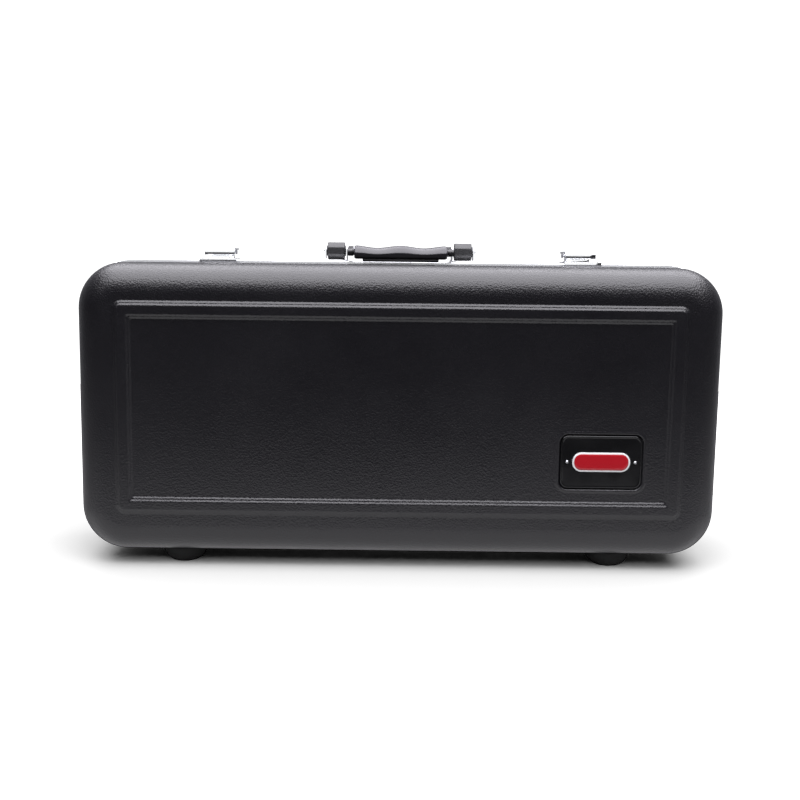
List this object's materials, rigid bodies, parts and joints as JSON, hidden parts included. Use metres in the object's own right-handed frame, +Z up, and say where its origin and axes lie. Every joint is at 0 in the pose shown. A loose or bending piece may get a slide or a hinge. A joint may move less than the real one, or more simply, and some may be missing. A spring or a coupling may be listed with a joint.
{
  "type": "trumpet case",
  "caption": "Moulded two-shell case for a trumpet, hinged along its lower long side, with draw latches, a folding handle and a padded plush interior.",
  "frame": {"origin": "middle of the case on the plane that its feet rest on", "axes": "+X along the case, +Y from the lid to the base, +Z up towards the handle"},
  "size_m": [0.5644, 0.155, 0.2873],
  "materials": {
    "shell": "black moulded ABS with a fine leather grain, satin",
    "valance": "bright anodised extrusion",
    "foam": "white expanded polystyrene beads",
    "plush": "dark violet plush pile",
    "rubber": "black moulded rubber",
    "steel": "zinc plated steel",
    "chrome": "polished chrome plate",
    "hinge_steel": "nickel plated sheet steel",
    "barrel": "black nylon",
    "handle_steel": "black coated steel",
    "grip": "soft black rubber with a worn sheen",
    "badge": "smooth black plate",
    "enamel": "red enamel with a white rim"
  },
  "bodies": {
    "base": {"base_shell": "shell", "base_valance": "valance", "base_foam": "foam", "base_lining": "plush", "base_feet": "rubber", "base_foot_screws": "steel", "hinge_leaves_base": "hinge_steel", "hinge_pins": "steel", "handle_brackets": "chrome", "handle_barrels": "barrel", "handle_pins": "steel", "latch_plates": "chrome", "lever_pins": "steel", "base_rivets": "hinge_steel"},
    "lid": {"lid_shell": "shell", "lid_valance": "valance", "lid_foam": "foam", "lid_lining": "plush", "lid_feet": "rubber", "lid_foot_screws": "steel", "hinge_leaves_lid": "hinge_steel", "latch_catches": "chrome", "lid_rivets": "hinge_steel", "badge_plate": "badge", "badge_bar": "enamel", "badge_rivets": "hinge_steel"},
    "handle": {"handle_frame": "handle_steel", "handle_grip": "grip"},
    "lever_left": {"latch_lever_left": "chrome", "bail_pin_left": "steel"},
    "hook_left": {"latch_hook_left": "chrome"},
    "lever_right": {"latch_lever_right": "chrome", "bail_pin_right": "steel"},
    "hook_right": {"latch_hook_right": "chrome"}
  },
  "joints": [
    {"name": "lid_hinge", "type": "hinge", "parent": "base", "child": "lid", "pos_m": [0, 0, 0.0075], "axis": [1, 0, 0], "range_deg": [0, 105]},
    {"name": "handle_fold", "type": "hinge", "parent": "base", "child": "handle", "pos_m": [0, 0.01, 0.2795], "axis": [-1, 0, 0], "range_deg": [0, 180]},
    {"name": "latch_left", "type": "hinge", "parent": "base", "child": "lever_left", "pos_m": [-0.162, 0.011, 0.275], "axis": [1, 0, 0], "range_deg": [-6, 100]},
    {"name": "hook_swing_left", "type": "hinge", "parent": "lever_left", "child": "hook_left", "pos_m": [-0.162, 0.018, 0.2775], "axis": [1, 0, 0], "range_deg": [-131, 8]},
    {"name": "latch_right", "type": "hinge", "parent": "base", "child": "lever_right", "pos_m": [0.162, 0.011, 0.275], "axis": [1, 0, 0], "range_deg": [-6, 100]},
    {"name": "hook_swing_right", "type": "hinge", "parent": "lever_right", "child": "hook_right", "pos_m": [0.162, 0.018, 0.2775], "axis": [1, 0, 0], "range_deg": [-131, 8]}
  ],
  "couplings": [
    {"joint": "hook_swing_left", "follows": "latch_left", "ratio": -1.3},
    {"joint": "hook_swing_right", "follows": "latch_right", "ratio": -1.3}
  ]
}
